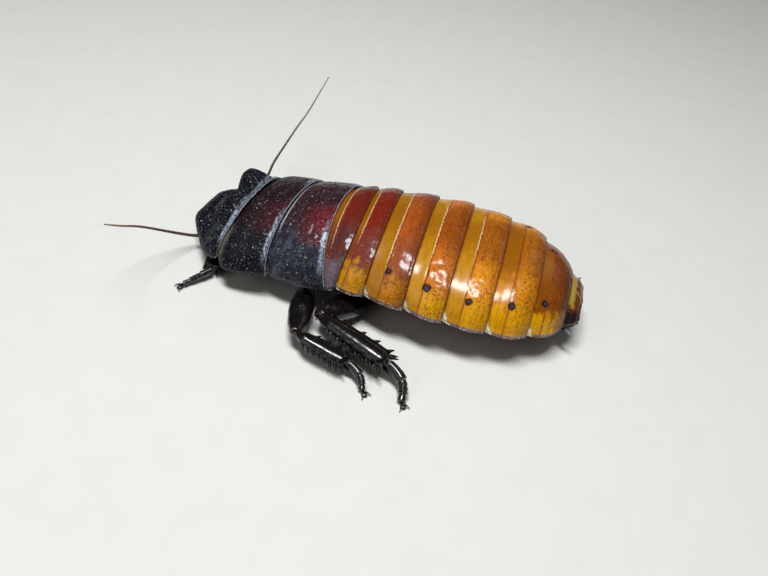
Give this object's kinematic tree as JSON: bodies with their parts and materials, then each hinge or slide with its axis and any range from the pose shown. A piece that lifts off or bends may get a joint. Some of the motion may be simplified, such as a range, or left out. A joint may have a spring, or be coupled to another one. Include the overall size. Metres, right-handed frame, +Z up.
{
  "type": "madagascar hissing cockroach model",
  "caption": "Still life-size model of an adult male Madagascar hissing cockroach standing on its feet, with a horned black collar plate and a ringed amber back.",
  "frame": {"origin": "on the floor under the middle of the whole outline, feelers included", "axes": "+Y from head to tail along the body, +X to the animal's left, +Z up from the floor"},
  "size_m": [0.0573, 0.071, 0.0192],
  "materials": {
    "black_shell": "semi-gloss black-maroon shell, finely wrinkled",
    "red_shell": "glossy dark red-brown shell",
    "amber_shell": "glossy amber shell with brown flecks",
    "belly_shell": "glossy brown shell",
    "soft_skin": "soft pale membrane",
    "head_shell": "glossy black shell",
    "eye_black": "fine-faceted glossy black",
    "feeler_brown": "dark brown, ringed",
    "leg_shell": "glossy black shell"
  },
  "bodies": {
    "root": {"pronotum": "black_shell", "mesonotum": "black_shell", "metanotum": "black_shell", "tergite_1": "red_shell", "tergite_2": "red_shell", "tergite_3": "amber_shell", "tergite_4": "amber_shell", "tergite_5": "amber_shell", "tergite_6": "amber_shell", "tergite_7": "amber_shell", "supra_anal_plate": "amber_shell", "sternite_2": "belly_shell", "sternite_3": "belly_shell", "sternite_4": "belly_shell", "sternite_5": "belly_shell", "sternite_6": "belly_shell", "subgenital_plate": "belly_shell", "thorax_core": "soft_skin", "abdomen_core": "soft_skin", "neck": "soft_skin", "head": "head_shell", "mouthparts": "head_shell", "eye_left": "eye_black", "scape_left": "feeler_brown", "antenna_left": "feeler_brown", "palp_left": "feeler_brown", "cercus_left": "feeler_brown", "eye_right": "eye_black", "scape_right": "feeler_brown", "antenna_right": "feeler_brown", "palp_right": "feeler_brown", "cercus_right": "feeler_brown", "coxa_fore_left": "leg_shell", "femur_fore_left": "leg_shell", "tibia_fore_left": "leg_shell", "tarsus_fore_left": "leg_shell", "coxa_fore_right": "leg_shell", "femur_fore_right": "leg_shell", "tibia_fore_right": "leg_shell", "tarsus_fore_right": "leg_shell", "coxa_mid_left": "leg_shell", "femur_mid_left": "leg_shell", "tibia_mid_left": "leg_shell", "tarsus_mid_left": "leg_shell", "coxa_mid_right": "leg_shell", "femur_mid_right": "leg_shell", "tibia_mid_right": "leg_shell", "tarsus_mid_right": "leg_shell", "coxa_hind_left": "leg_shell", "femur_hind_left": "leg_shell", "tibia_hind_left": "leg_shell", "tarsus_hind_left": "leg_shell", "coxa_hind_right": "leg_shell", "femur_hind_right": "leg_shell", "tibia_hind_right": "leg_shell", "tarsus_hind_right": "leg_shell"}
  },
  "joints": []
}
